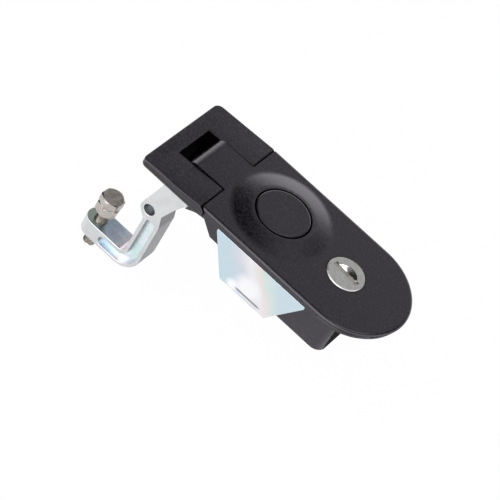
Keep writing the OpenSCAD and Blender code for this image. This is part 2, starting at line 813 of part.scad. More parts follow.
module mounting_bracket() {
    top = bracket_top_l / 2;
    low = bracket_low_l / 2;
    color(bright_zinc) difference() {
        intersection() {
            translate([-far / 2, 0, 0]) rotate([90, 0, 90]) linear_extrude(far) difference() {
                bracket_section(bracket_out, strap_low, bend_r + bracket_t);
                bracket_section(bracket_in, strap_top, bend_r);
            }
            translate([bracket_x, 0, 0]) across(far) polygon(rounded([[-top, -panel_t, 0], [top, -panel_t, 0],
                [top, -panel_t - 1.5, 0.8], [low, strap_low + bend_r, 3], [low, strap_low - 1, 0],
                [-low, strap_low - 1, 0], [-low, strap_low + bend_r, 3], [-top, -panel_t - 1.5, 0.8]]));
        }
        screw_places() translate([0, 0, strap_low - 1]) cylinder(d = screw_d + 0.4, h = bracket_t + 2);
    }
}

module bracket_washers() {
    color(bright_zinc) screw_places() translate([0, 0, strap_low - washer_t]) difference() {
        cylinder(d = boss_d + 1, h = washer_t);
        translate([0, 0, -1]) cylinder(d = screw_d, h = washer_t + 2);
    }
}

module bracket_screws() {
    head_h = 0.6 * screw_d;
    head_r = screw_d;
    low = strap_low - washer_t;
    color(bright_zinc) screw_places() difference() {
        union() {
            translate([0, 0, low]) cylinder(d = screw_d, h = screw_tip - low);
            rotate_extrude() polygon([[0, low], [0, low - head_h], [head_r - 1, low - head_h],
                [head_r, low - head_h + 1], [head_r, low]]);
        }
        for (turn = [0, 90]) rotate(turn) translate([-head_r * 0.6, -0.5, low - head_h - 1])
            cube([head_r * 1.2, 1, 2.2]);
    }
}

// Push button
module push_button() {
    r = button_d / 2;
    color(moulded_black) translate([dome_x, 0, 0]) rotate_extrude() {
        translate([0, button_in]) square([r - button_edge_r, button_t]);
        translate([r - 2, skirt_low]) square([2, button_z - button_edge_r - skirt_low]);
        translate([r - button_edge_r, button_z - button_edge_r]) circle(button_edge_r);
        translate([0, clip_z + clip_t + eps]) square([stem_d / 2, button_in - clip_z - clip_t]);
        translate([0, clip_z - eps]) square([stem_d / 2 - 0.8, clip_t + 4 * eps]);
        translate([0, stem_low]) square([stem_d / 2, clip_z - eps - stem_low]);
        translate([0, nose_low]) square([nose_r, stem_low - nose_low + eps]);
    }
}

module button_spring() {
    r = stem_d / 2 + button_wire + 1;
    color(spring_steel) translate([dome_x, 0, cup_z + button_wire / 2])
        wire(helix(r, button_in - cup_z - button_wire, 3), button_wire, [0, 0, 1]);
}

module button_clip() {
    color(spring_steel) translate([dome_x, 0, clip_z])
        retaining_ring(stem_d / 2 - 0.8, stem_d / 2 + 1.6, clip_t);
}

// Catch
module catch_outline() {
    arm_top = tip_z + 0.8;
    arm_h = 1.8;
    translate([catch_x, -catch_z]) circle(catch_r);
    translate([dome_x, tip_z]) circle(tip_r);
    translate([dome_x, arm_top - arm_h]) square([catch_x - dome_x, arm_h]);
    translate([catch_x - catch_t / 2, leg_low]) square([catch_t, catch_leg]);
    polygon([[catch_x - catch_t / 2 + eps, leg_low + nose_t], [keeper_x + free_gap, leg_low + nose_t],
        [keeper_x + free_gap, leg_low + nose_t - 0.8], [catch_x - catch_t / 2 + eps, leg_low]]);
}

module catch() {
    color(nickel_grey) across(catch_w) difference() {
        catch_outline();
        translate([catch_x, -catch_z]) circle(catch_pin_d / 2 + run_clear);
    }
}

module catch_pin() {
    end = spring_side + catch_coil_l + 0.6;
    color(spring_steel) translate([catch_x, -spring_side, -catch_z]) rotate([-90, 0, 0])
        cylinder(d = catch_pin_d, h = spring_side + end);
}

module catch_spring() {
    r = catch_pin_d / 2 + catch_wire / 2 + 0.15;
    near = spring_side + 0.1 + catch_wire / 2;
    coil = [for (p = helix(r, catch_coil_l - catch_wire, 2)) [p[0], near + catch_coil_l - catch_wire - p[2], -p[1]]];
    hook_z = catch_z + leg_low + 2.6;
    color(spring_steel) translate([catch_x, 0, -catch_z])
        wire(concat([coil[0] + [0, 0, catch_z + lever_low - 0.05]], coil, [[r, near, hook_z], [r, 0, hook_z]]),
            catch_wire, [1, 0, 0]);
}

// Key lock
module lock_barrel() {
    groove = 0.9;
    color(satin_nickel) translate([lock_x, 0, 0]) difference() {
        translate([0, 0, barrel_low]) cylinder(d = barrel_d, h = barrel_l);
        translate([0, 0, barrel_low - 1]) cylinder(r = plug_d / 2 + run_clear, h = barrel_l + 2);
        translate([0, 0, boss_low - groove]) difference() {
            cylinder(d = barrel_d + 2, h = groove);
            translate([0, 0, -1]) cylinder(d = barrel_d - 1.6, h = groove + 2);
        }
    }
}

module lock_clip() {
    groove = 0.9;
    color(spring_steel) translate([lock_x, 0, boss_low - groove])
        retaining_ring(barrel_d / 2 - 0.8, boss_r, groove);
}

module half_moon() {
    intersection() {
        translate([0, recess_y]) circle(d = recess_d);
        translate([-recess_d, keyway_h / 2]) square([2 * recess_d, recess_d]);
    }
}

module key_slot() {
    square([keyway_l, keyway_h], center = true);
}

module scoop() {
    r = recess_d / 2 + 0.3;
    sphere_r = (r * r + recess_depth * recess_depth) / (2 * recess_depth);
    translate([0, recess_y, face_z - recess_depth + sphere_r]) sphere(sphere_r);
}

module lock_plug() {
    r = lock_face_d / 2;
    keyway_w = keyway_h - 0.8;
    depth = barrel_l * 0.7;
    color(satin_nickel) translate([lock_x, 0, 0]) rotate(face_turn) difference() {
        union() {
            rotate_extrude() polygon([[0, face_low], [r, face_low], [r, face_z - lock_chamfer],
                [r - lock_chamfer, face_z], [0, face_z]]);
            translate([0, 0, barrel_low - 0.1]) cylinder(d = plug_d, h = face_low - barrel_low + 0.1 + eps);
            translate([-tang_af / 2, -tang_af / 2, cam_low]) cube([tang_af, tang_af, cam_t + free_gap]);
        }
        plan(moon_low, face_z + 1) half_moon();
        plan(slot_low, face_z + 1) key_slot();
        translate([1 - plug_d / 2, -keyway_w / 2, face_z - depth]) cube([plug_d - 2, keyway_w, depth]);
        translate([0, 0, cam_low - 1]) cylinder(d = cam_screw_d, h = 7);
    }
}

module keyway_plate() {
    color(satin_nickel) translate([lock_x, 0, 0]) rotate(face_turn) difference() {
        plan(moon_low, face_z) half_moon();
        scoop();
    }
}

module key_shutter() {
    color(nickel_grey) translate([lock_x, 0, 0]) rotate(face_turn) plan(slot_low, slot_low + shutter_t) key_slot();
}

module lock_cam() {
    color(bright_zinc) translate([lock_x, 0, 0]) rotate(face_turn) plan(cam_low, cam_top) difference() {
        union() {
            circle(cam_hub_r);
            translate([-cam_w / 2, 0]) square([cam_w, cam_reach - cam_w / 2]);
            intersection() {
                translate([0, cam_reach - cam_w / 2]) circle(d = cam_w);
                translate([-cam_w, 0]) square([2 * cam_w, 2 * cam_reach]);
            }
        }
        translate([-tang_af / 2, -tang_af / 2]) square(tang_af);
    }
}

module cam_screw() {
    head_r = 4;
    head_h = 1.8;
    color(bright_zinc) translate([lock_x, 0, 0]) difference() {
        union() {
            translate([0, 0, cam_low]) cylinder(d = cam_screw_d, h = 6);
            rotate_extrude() polygon([[0, cam_low], [0, cam_low - head_h], [head_r - 0.8, cam_low - head_h],
                [head_r, cam_low - head_h + 0.8], [head_r, cam_low]]);
        }
        for (turn = [0, 90]) rotate(turn) translate([-2.2, -0.45, cam_low - head_h - 1]) cube([4.4, 0.9, 2]);
    }
}

housing();
gasket();
lever();
pivot_pin_left();
pivot_pin_right();
arm_pin();
hook_arm();
grip_bolt();
lock_nut();
mounting_bracket();
bracket_screws();
bracket_washers();
push_button();
button_spring();
button_clip();
catch();
catch_pin();
catch_spring();
lock_barrel();
lock_clip();
lock_plug();
keyway_plate();
key_shutter();
lock_cam();
cam_screw();
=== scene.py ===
import json
import math

import bmesh
import bpy
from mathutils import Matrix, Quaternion, Vector


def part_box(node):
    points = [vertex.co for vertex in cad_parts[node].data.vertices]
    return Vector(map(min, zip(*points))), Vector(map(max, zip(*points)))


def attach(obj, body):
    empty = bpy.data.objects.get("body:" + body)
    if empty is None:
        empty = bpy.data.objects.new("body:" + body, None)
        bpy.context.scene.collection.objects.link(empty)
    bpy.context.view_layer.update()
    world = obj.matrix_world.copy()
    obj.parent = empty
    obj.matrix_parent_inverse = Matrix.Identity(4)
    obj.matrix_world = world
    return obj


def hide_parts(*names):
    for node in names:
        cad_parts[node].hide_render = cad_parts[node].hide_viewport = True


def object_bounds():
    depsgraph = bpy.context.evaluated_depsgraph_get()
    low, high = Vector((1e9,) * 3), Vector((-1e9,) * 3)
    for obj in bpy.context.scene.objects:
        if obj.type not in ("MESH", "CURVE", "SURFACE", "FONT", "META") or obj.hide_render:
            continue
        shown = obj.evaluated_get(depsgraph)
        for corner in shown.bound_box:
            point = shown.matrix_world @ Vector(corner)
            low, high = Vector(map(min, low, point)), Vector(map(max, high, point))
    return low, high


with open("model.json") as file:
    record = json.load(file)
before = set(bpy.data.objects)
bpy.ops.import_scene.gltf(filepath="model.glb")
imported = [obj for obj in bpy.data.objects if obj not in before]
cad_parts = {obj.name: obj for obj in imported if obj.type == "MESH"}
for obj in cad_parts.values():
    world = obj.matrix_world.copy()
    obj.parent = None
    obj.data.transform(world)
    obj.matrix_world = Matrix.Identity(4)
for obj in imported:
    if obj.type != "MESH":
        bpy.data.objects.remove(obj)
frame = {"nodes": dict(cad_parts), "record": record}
cadLow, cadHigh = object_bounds()
nodes = frame["nodes"]
bodyOf = {node: body for body, members in frame["record"]["behaviour"]["bodies"].items() for node in members}
slotOf = {row["node"]: row["material_slot"] for row in frame["record"]["subparts"]}
scene = bpy.context.scene
mm = 0.001
print("frame loaded:", len(nodes), "nodes")


# camera: long lens, looking down at the cover, rolled so that the lever runs to the lower right
shot = {
    "target": (0.0017, -0.0219, 0.0),
    "distance": 0.9881,
    "azimuth": 12.46,
    "elevation": 44.86,
    "roll": 33.56,
    "lens": 172.8,
    "sensor": 36.0,
    "clipStart": 0.05,
}


def addCamera(settings):
    azimuth, elevation = math.radians(settings["azimuth"]), math.radians(settings["elevation"])
    level = math.cos(elevation)
    back = Vector((math.sin(azimuth) * level, -math.cos(azimuth) * level, math.sin(elevation)))
    lens = bpy.data.cameras.new("camera")
    lens.lens = settings["lens"]
    lens.sensor_width = settings["sensor"]
    lens.clip_start = settings["clipStart"]
    camera = bpy.data.objects.new("camera", lens)
    camera.location = Vector(settings["target"]) + back * settings["distance"]
    camera.rotation_mode = "QUATERNION"
    roll = Quaternion((0, 0, 1), math.radians(settings["roll"]))
    camera.rotation_quaternion = (-back).to_track_quat("-Z", "Y") @ roll
    scene.collection.objects.link(camera)
    scene.camera = camera


addCamera(shot)
scene.view_settings.view_transform = "Standard"


# node helpers
def addNode(tree, kind, **inputs):
    node = tree.nodes.new(kind)
    for name, value in inputs.items():
        node.inputs[name.replace("_", " ")].default_value = value
    return node


def join(tree, source, output, target, entry):
    tree.links.new(source.outputs[output], target.inputs[entry])


def addRange(tree, source, output, low, high, fromLow=0.3, fromHigh=0.7):
    spread = tree.nodes.new("ShaderNodeMapRange")
    spread.inputs["From Min"].default_value = fromLow
    spread.inputs["From Max"].default_value = fromHigh
    spread.inputs["To Min"].default_value = low
    spread.inputs["To Max"].default_value = high
    join(tree, source, output, spread, "Value")
    return spread


def addRamp(tree, tints):
    # tints is a list of (position, colour)
    ramp = tree.nodes.new("ShaderNodeValToRGB")
    stops = ramp.color_ramp.elements
    stops[0].position, stops[0].color = tints[0]
    stops[1].position, stops[1].color = tints[-1]
    for position, color in tints[1:-1]:
        stops.new(position).color = color
    return ramp


def addMath(tree, operation, first, second=None, third=None):
    # each entry is a number, or a node and the name of its output
    node = tree.nodes.new("ShaderNodeMath")
    node.operation = operation
    for entry, value in enumerate((first, second, third)):
        if isinstance(value, tuple):
            join(tree, value[0], value[1], node, entry)
        elif value is not None:
            node.inputs[entry].default_value = value
    return node


def addSplit(tree, source, output):
    split = tree.nodes.new("ShaderNodeSeparateXYZ")
    join(tree, source, output, split, 0)
    return split


def addVector(tree, operation, source, output, value):
    # a node's vector, worked on with a fixed one
    node = tree.nodes.new("ShaderNodeVectorMath")
    node.operation = operation
    node.inputs[1].default_value = value
    join(tree, source, output, node, 0)
    return node


colorMix = {"share": 0, "base": 6, "tint": 7, "result": 2}  # sockets of a Mix node set to colours


def addBlend(tree, mask, base, output):
    # the caller gives the tint
    blend = tree.nodes.new("ShaderNodeMix")
    blend.data_type = "RGBA"
    join(tree, mask, 0, blend, colorMix["share"])
    join(tree, base, output, blend, colorMix["base"])
    return blend


# studio: a pale floor, a sky that is bright low down and flagged off at the left, two soft panels,
# and a dark card on the floor behind the latch that only polished faces see, as a painted shadow in their
# reflections
studio = {
    "floorSize": 3.0,
    "floorDrop": 0.4 * mm,
    "floorColor": (0.90, 0.90, 0.90, 1),
    "floorGlow": 0.96,
    "floorGlowInGloss": 0.12,
    "sky": [
        (0.00, (1.60, 1.60, 1.61, 1)),
        (0.30, (1.95, 1.95, 1.96, 1)),
        (0.44, (3.10, 3.10, 3.12, 1)),
        (0.55, (0.95, 0.95, 0.96, 1)),
        (0.66, (0.50, 0.50, 0.51, 1)),
        (0.86, (0.70, 0.70, 0.71, 1)),
        (0.95, (0.30, 0.30, 0.31, 1)),
        (1.00, (0.22, 0.22, 0.23, 1)),
    ],
    "flags": [
        {"toward": (-0.60, 0.25, 0.76), "edge": (0.78, 0.91), "dark": 0.02},
        {"toward": (-0.85, 0.20, 0.49), "edge": (0.86, 0.95), "dark": 0.10},
        {"toward": (0.50, 0.70, 0.50), "edge": (0.82, 0.95), "dark": 0.25},
    ],
    "panels": [
        {"name": "topPanel", "place": (0.25, 0.22, 0.94), "size": (0.36, 0.36), "power": 0.8},
        {"name": "frontPanel", "place": (-0.18, -0.83, 0.82), "size": (1.8, 1.4), "power": 13.0},
    ],
    "cardMiddle": (75 * mm, 80 * mm),
    "cardHalf": (0.05, 0.055),
    "cardLift": 0.2 * mm,
    "shadowCardColor": (0.03, 0.03, 0.03, 1),
}


def addFloor(settings):
    bm = bmesh.new()
    bmesh.ops.create_grid(bm, x_segments=1, y_segments=1, size=settings["floorSize"])
    bmesh.ops.translate(bm, verts=bm.verts, vec=(0, 0, cadLow.z - settings["floorDrop"]))
    mesh = bpy.data.meshes.new("floor")
    bm.to_mesh(mesh)
    bm.free()
    floor = bpy.data.objects.new("floor", mesh)
    scene.collection.objects.link(floor)
    material = bpy.data.materials.new("paleFloor")
    material.use_nodes = True
    tree = material.node_tree
    tree.nodes.clear()
    paint = addNode(tree, "ShaderNodeBsdfDiffuse", Color=settings["floorColor"])
    glow = addNode(tree, "ShaderNodeEmission", Strength=1.0)
    path = tree.nodes.new("ShaderNodeLightPath")  # the floor's glow is for the eye, and less so in gloss
    seen = addMath(tree, "MAXIMUM", (path, "Is Camera Ray"), (path, "Is Transmission Ray"))
    share = addMath(tree, "MULTIPLY", (seen, 0), settings["floorGlow"])
    share = addMath(tree, "MULTIPLY_ADD", (path, "Is Glossy Ray"), settings["floorGlowInGloss"], (share, 0))
    mix = tree.nodes.new("ShaderNodeMixShader")
    join(tree, share, 0, mix, 0)
    join(tree, paint, 0, mix, 1)
    join(tree, glow, 0, mix, 2)
    join(tree, mix, 0, tree.nodes.new("ShaderNodeOutputMaterial"), "Surface")
    mesh.materials.append(material)


def addCard(settings):
    bm = bmesh.new()
    bmesh.ops.create_grid(bm, x_segments=1, y_segments=1, size=1.0)
    bmesh.ops.scale(bm, verts=bm.verts, vec=(*settings["cardHalf"], 1))
    height = cadLow.z - settings["floorDrop"] + settings["cardLift"]
    bmesh.ops.translate(bm, verts=bm.verts, vec=(*settings["cardMiddle"], height))
    mesh = bpy.data.meshes.new("shadeCard")
    bm.to_mesh(mesh)
    bm.free()
    card = bpy.data.objects.new("shadeCard", mesh)
    # painted shadow: the card is seen only in reflections, as the latch's shadow on the floor
    card.visible_camera = card.visible_diffuse = card.visible_shadow = False
    scene.collection.objects.link(card)
    material = bpy.data.materials.new("shadowCardBlack")
    material.use_nodes = True
    tree = material.node_tree
    tree.nodes.clear()
    paint = addNode(tree, "ShaderNodeBsdfDiffuse", Color=settings["shadowCardColor"])
    join(tree, paint, 0, tree.nodes.new("ShaderNodeOutputMaterial"), "Surface")
    mesh.materials.append(material)


def addWorld(settings):
    world = bpy.data.worlds.new("studio")
    scene.world = world
    world.use_nodes = True
    tree = world.node_tree
    tree.nodes.clear()
    place = tree.nodes.new("ShaderNodeTexCoord")
    split = addSplit(tree, place, "Generated")
    ramp = addRamp(tree, settings["sky"])
    join(tree, split, "Z", ramp, 0)
    shares = []
    for flag in settings["flags"]:  # a flag dims the sky about one direction
        direction = Vector(flag["toward"]).normalized()
        toward = addVector(tree, "DOT_PRODUCT", place, "Generated", direction)
        shares.append((addRange(tree, toward, "Value", 1.0, flag["dark"], *flag["edge"]), 0))
    share = shares[0]
    for other in shares[1:]:
        share = (addMath(tree, "MINIMUM", share, other), 0)
    light = tree.nodes.new("ShaderNodeBackground")
    join(tree, ramp, 0, light, "Color")
    join(tree, share[0], 0, light, "Strength")
    join(tree, light, 0, tree.nodes.new("ShaderNodeOutputWorld"), "Surface")


def addPanel(settings):
    lamp = bpy.data.lights.new(settings["name"], "AREA")
    lamp.shape = "RECTANGLE"
    lamp.size, lamp.size_y = settings["size"]
    lamp.energy = settings["power"]
    panel = bpy.data.objects.new(settings["name"], lamp)
    panel.location = settings["place"]
    panel.rotation_euler = (-Vector(settings["place"])).to_track_quat("-Z", "Y").to_euler()
    panel.visible_camera = False
    scene.collection.objects.link(panel)


addFloor(studio)
addCard(studio)
addWorld(studio)
for panel in studio["panels"]:
    addPanel(panel)
print("studio set up")


# finishes
def startMaterial(name):
    material = bpy.data.materials.new(name)
    material.use_nodes = True
    tree = material.node_tree
    shader = tree.nodes["Principled BSDF"]
    place = tree.nodes.new("ShaderNodeTexCoord")
    return material, tree, shader, place


def addNoise(tree, place, scale, detail=2.0, distortion=0.0):
    noise = addNode(tree, "ShaderNodeTexNoise", Scale=scale, Detail=detail, Distortion=distortion)
    join(tree, place, "Object", noise, "Vector")
    return noise


def addBump(tree, shader, source, output, distance, strength):
    bump = addNode(tree, "ShaderNodeBump", Distance=distance, Strength=strength)
    join(tree, source, output, bump, "Height")
    join(tree, bump, 0, shader, "Normal")


def addTints(tree, shader, source, output, tints):
    ramp = addRamp(tree, tints)
    join(tree, source, output, ramp, 0)
    join(tree, ramp, 0, shader, "Base Color")


def plainFinish(name, settings):
    # one noise gives the tints, the roughness and the bump
    material, tree, shader, place = startMaterial(name)
    shader.inputs["Metallic"].default_value = settings["metallic"]
    shader.inputs["Specular IOR Level"].default_value = settings["specular"]
    noise = addNoise(tree, place, settings["scale"], settings["detail"])
    addTints(tree, shader, noise, "Fac", settings["tints"])
    join(tree, addRange(tree, noise, "Fac", *settings["roughness"]), 0, shader, "Roughness")
    addBump(tree, shader, noise, "Fac", settings["depth"], settings["strength"])
    return material


mouldedFinish = {
    "tints": [(0.40, (0.0002, 0.0001, 0.0007, 1)), (0.63, (0.0074, 0.0064, 0.0096, 1))],
    "fleckScale": 1100,
    "fleckDetail": 2.0,
    "grainScale": 900,
    "grainDetail": 3.0,
    "grainDepth": 0.03 * mm,
    "grainStrength": 0.35,
    "roughness": (0.20, 0.28),
    "specular": 0.68,
    "specularTint": (0.96, 0.90, 1.0, 1),
}


def mouldedBlack(settings):
    material, tree, shader, place = startMaterial("mouldedBlack")
    shader.inputs["Specular IOR Level"].default_value = settings["specular"]
    shader.inputs["Specular Tint"].default_value = settings["specularTint"]
    fleck = addNoise(tree, place, settings["fleckScale"], settings["fleckDetail"])
    addTints(tree, shader, fleck, "Fac", settings["tints"])
    join(tree, addRange(tree, fleck, "Fac", *settings["roughness"]), 0, shader, "Roughness")
    grain = addNoise(tree, place, settings["grainScale"], settings["grainDetail"])
    addBump(tree, shader, grain, "Fac", settings["grainDepth"], settings["grainStrength"])
    return material


paintedShadeFinish = {  # painted shade: near-black and rough, for faces where shade falls
    "tints": [(0.3, (0.0004, 0.0004, 0.0005, 1)), (0.7, (0.0012, 0.0012, 0.0014, 1))],
    "scale": 1200,
    "detail": 3.0,
    "depth": 0.03 * mm,
    "strength": 0.5,
    "roughness": (0.85, 0.95),
    "specular": 0.02,
    "metallic": 0.0,
}
rubberFinish = {
    "tints": [(0.3, (0.016, 0.016, 0.016, 1)), (0.7, (0.024, 0.024, 0.024, 1))],
    "scale": 900,
    "detail": 4.0,
    "depth": 0.02 * mm,
    "strength": 0.4,
    "roughness": (0.6, 0.75),
    "specular": 0.5,
    "metallic": 0.0,
}
sideView = (1, 0, 1)  # leaves out the place across the latch
castFinish = {
    "faceTints": [(0.30, (0.60, 0.61, 0.62, 1)), (0.70, (0.68, 0.685, 0.69, 1))],
    "pocketTints": [
        (0.30, (0.62, 0.80, 0.80, 1)),
        (0.50, (0.76, 0.85, 0.90, 1)),
        (0.70, (0.72, 0.87, 0.87, 1)),
    ],
    # painted shadow: the hook top is darker beside the bolt
    "hookTopTintsAndShadow": [
        (0.00, (0.42, 0.47, 0.46, 1)),
        (0.28, (0.38, 0.46, 0.40, 1)),
        (0.45, (0.36, 0.46, 0.55, 1)),
        (0.70, (0.46, 0.50, 0.60, 1)),
        (0.88, (0.58, 0.66, 0.72, 1)),
        (1.00, (0.74, 0.60, 0.66, 1)),
    ],
    "topAlong": (-76 * mm, -51 * mm),
    "streakScale": (40, 420, 40),
    "streakDetail": 3.0,
    "streakShift": 0.16,
    "backShadeTints": [(0.30, (0.26, 0.26, 0.27, 1)), (0.70, (0.30, 0.30, 0.31, 1))],
    "boreShadeTints": [(0.30, (0.36, 0.38, 0.40, 1)), (0.70, (0.46, 0.48, 0.50, 1))],
    "pocketDepths": (3.0 * mm, 5.8 * mm),
    "hookHeights": (-70 * mm, -66 * mm),
    "facing": (0.5, 0.85),
    "boreAt": (-48.7 * mm, 0, -40.0 * mm),
    "boreEdge": (2.9 * mm, 3.0 * mm),
    "cloudScale": 110,
    "cloudDetail": 4.0,
    "cloudTwist": 0.6,
    "skinScale": 1400,
    "skinDetail": 4.0,
    "skinDepth": 0.02 * mm,
    "skinStrength": 0.3,
    "roughness": (0.26, 0.38),
}


def castZinc(settings):
    material, tree, shader, place = startMaterial("castZinc")
    shader.inputs["Metallic"].default_value = 1.0
    cloud = addNoise(tree, place, settings["cloudScale"], settings["cloudDetail"], settings["cloudTwist"])
    at = addSplit(tree, place, "Object")
    facing = addSplit(tree, place, "Normal")
    sideways = addRange(tree, addMath(tree, "ABSOLUTE", (facing, "Y")), 0, 0.0, 1.0, *settings["facing"])
    sunk = addRange(tree, addMath(tree, "ABSOLUTE", (at, "Y")), 0, 1.0, 0.0, *settings["pocketDepths"])
    upward = addRange(tree, facing, "Z", 0.0, 1.0, *settings["facing"])
    lowDown = addRange(tree, at, "Z", 1.0, 0.0, *settings["hookHeights"])
    rearward = addRange(tree, facing, "X", 0.0, 1.0, *settings["facing"])
    flat = addVector(tree, "MULTIPLY", place, "Object", sideView)
    away = addVector(tree, "DISTANCE", flat, 0, settings["boreAt"])
    drawn = addVector(tree, "MULTIPLY", place, "Object", settings["streakScale"])  # streaks along the hook
    streak = addNode(tree, "ShaderNodeTexNoise", Scale=1.0, Detail=settings["streakDetail"])
    join(tree, drawn, 0, streak, "Vector")
    shift = addRange(tree, streak, "Fac", -settings["streakShift"], settings["streakShift"])
    along = addRange(tree, at, "X", 0.0, 1.0, *settings["topAlong"])
    hookPlace = addMath(tree, "ADD", (along, 0), (shift, 0))
    zones = [  # the plating is bluer in the pockets, the hook top's hue changes along the hook with painted shadow beside the bolt, and painted shade darkens the back and the inside of the hole
        (addMath(tree, "MULTIPLY", (sideways, 0), (sunk, 0)), "pocketTints", cloud),
        (addMath(tree, "MULTIPLY", (upward, 0), (lowDown, 0)), "hookTopTintsAndShadow", hookPlace),
        (rearward, "backShadeTints", cloud),
        (addRange(tree, away, "Value", 1.0, 0.0, *settings["boreEdge"]), "boreShadeTints", cloud),
    ]
    skinTint = addRamp(tree, settings["faceTints"])
    join(tree, cloud, "Fac", skinTint, 0)
    output = 0
    for mask, tints, source in zones:
        tint = addRamp(tree, settings[tints])
        join(tree, source, 0, tint, 0)
        skinTint = addBlend(tree, mask, skinTint, output)
        join(tree, tint, 0, skinTint, colorMix["tint"])
        output = colorMix["result"]
    join(tree, skinTint, output, shader, "Base Color")
    skin = addNoise(tree, place, settings["skinScale"], settings["skinDetail"])
    join(tree, addRange(tree, skin, "Fac", *settings["roughness"]), 0, shader, "Roughness")
    addBump(tree, shader, skin, "Fac", settings["skinDepth"], settings["skinStrength"])
    return material


sheetFinish = {
    "along": (-20 * mm, 34 * mm),
    "slant": 0.81,
    # painted reflections of the studio, in bands along the strap
    "tints": [
        (0.00, (0.53, 0.65, 0.72, 1)),
        (0.19, (0.54, 0.65, 0.72, 1)),
        (0.27, (0.60, 0.64, 0.70, 1)),
        (0.33, (0.69, 0.69, 0.73, 1)),
        (0.42, (0.78, 0.78, 0.80, 1)),
        (0.50, (0.76, 0.70, 0.69, 1)),
        (0.57, (0.62, 0.71, 0.69, 1)),
        (0.70, (0.55, 0.66, 0.72, 1)),
        (1.00, (0.56, 0.66, 0.72, 1)),
    ],
    "cloudScale": 60,
    "cloudDetail": 2.0,
    "cloudTwist": 0.8,
    "cloudShift": 0.05,
    "paintedHighlights": [  # painted highlights, bright patches: middle, and the distances between which they fade
        {"middle": (10.5 * mm, 0, -15.5 * mm), "fade": (3.5 * mm, 8.0 * mm), "tint": (0.87, 0.87, 0.89, 1)},
        {"middle": (4.0 * mm, 0, -20.0 * mm), "fade": (1.5 * mm, 4.0 * mm), "tint": (0.90, 0.90, 0.92, 1)},
    ],
    "bendShadeLine": {
        "height": -19.9 * mm,
        "thick": (0.20 * mm, 0.65 * mm),
        "middle": 12.5 * mm,
        "reach": (5.5 * mm, 7.5 * mm),
        "tint": (0.20, 0.20, 0.22, 1),
    },
    "rollScale": 700,
    "rollDetail": 3.0,
    "waveScale": 30,
    "waveDetail": 1.0,
    "waveDepth": 0.4 * mm,
    "waveStrength": 0.25,
    "roughness": (0.16, 0.24),
}


def brightSheet(settings):
    material, tree, shader, place = startMaterial("brightSheet")
    shader.inputs["Metallic"].default_value = 1.0
    split = addSplit(tree, place, "Object")  # painted reflections: blue, white and warm bands run along the strap
    slanted = addMath(tree, "MULTIPLY_ADD", (split, "Z"), settings["slant"], (split, "X"))
    along = addRange(tree, slanted, 0, 0.0, 1.0, *settings["along"])
    cloud = addNoise(tree, place, settings["cloudScale"], settings["cloudDetail"], settings["cloudTwist"])
    shift = addRange(tree, cloud, "Fac", -settings["cloudShift"], settings["cloudShift"])
    tint, output = addRamp(tree, settings["tints"]), 0
    join(tree, addMath(tree, "ADD", (along, 0), (shift, 0)), 0, tint, 0)
    flat = addVector(tree, "MULTIPLY", place, "Object", sideView)
    marks = []
    for highlight in settings["paintedHighlights"]:
        away = addVector(tree, "DISTANCE", flat, 0, highlight["middle"])
        marks.append((addRange(tree, away, "Value", 1.0, 0.0, *highlight["fade"]), highlight["tint"]))
    line = settings["bendShadeLine"]  # painted dark reflection beside the bend, where the fold mirrors the shadow under the latch
    offLine = addMath(tree, "ABSOLUTE", (addMath(tree, "SUBTRACT", (split, "Z"), line["height"]), 0))
    offMiddle = addMath(tree, "ABSOLUTE", (addMath(tree, "SUBTRACT", (split, "X"), line["middle"]), 0))
    onLine = addRange(tree, offLine, 0, 1.0, 0.0, *line["thick"])
    nearBy = addRange(tree, offMiddle, 0, 1.0, 0.0, *line["reach"])
    marks.append((addMath(tree, "MULTIPLY", (onLine, 0), (nearBy, 0)), line["tint"]))
    for mask, color in marks:
        tint = addBlend(tree, mask, tint, output)
        tint.inputs[colorMix["tint"]].default_value = color
        output = colorMix["result"]
    join(tree, tint, output, shader, "Base Color")
    rolled = addNoise(tree, place, settings["rollScale"], settings["rollDetail"])
    join(tree, addRange(tree, rolled, "Fac", *settings["roughness"]), 0, shader, "Roughness")
    wave = addNoise(tree, place, settings["waveScale"], settings["waveDetail"])
    addBump(tree, shader, wave, "Fac", settings["waveDepth"], settings["waveStrength"])
    return material


nickelFinish = {
    "tints": [(0.30, (0.38, 0.35, 0.32, 1)), (0.55, (0.53, 0.49, 0.455, 1)), (0.70, (0.44, 0.41, 0.38, 1))],
    "scale": 420,
    "detail": 4.0,
    "twist": 0.4,
    "skinScale": 1900,
    "skinDetail": 3.0,
    "depth": 0.02 * mm,
    "strength": 0.3,
    "roughness": (0.15, 0.27),
}


def nickelSteel(settings):
    material, tree, shader, place = startMaterial("nickelSteel")
    shader.inputs["Metallic"].default_value = 1.0
    cloud = addNoise(tree, place, settings["scale"], settings["detail"], settings["twist"])
    addTints(tree, shader, cloud, "Fac", settings["tints"])
    join(tree, addRange(tree, cloud, "Fac", *settings["roughness"]), 0, shader, "Roughness")
    skin = addNoise(tree, place, settings["skinScale"], settings["skinDetail"])
    addBump(tree, shader, skin, "Fac", settings["depth"], settings["strength"])
    return material


satinFinish = {
    "tints": [(0.30, (0.42, 0.42, 0.405, 1)), (0.70, (0.51, 0.51, 0.50, 1))],
    "scale": 700,
    "detail": 5.0,
    "depth": 0.02 * mm,
    "strength": 0.3,
    "roughness": (0.30, 0.42),
    "specular": 0.5,
    "metallic": 1.0,
}
polishFinish = {
    "tints": [(0.30, (0.74, 0.73, 0.71, 1)), (0.70, (0.80, 0.79, 0.78, 1))],
    "scale": 160,
    "detail": 3.0,
    "depth": 0.05 * mm,
    "strength": 0.15,
    "roughness": (0.15, 0.22),
    "specular": 0.5,
    "metallic": 1.0,
}
pinFinish = {
    "tints": [(0.30, (0.30, 0.30, 0.32, 1)), (0.70, (0.42, 0.42, 0.44, 1))],
    "scale": 400,
    "detail": 4.0,
    "depth": 0.01 * mm,
    "strength": 0.3,
    "roughness": (0.28, 0.42),
    "specular": 0.5,
    "metallic": 1.0,
}
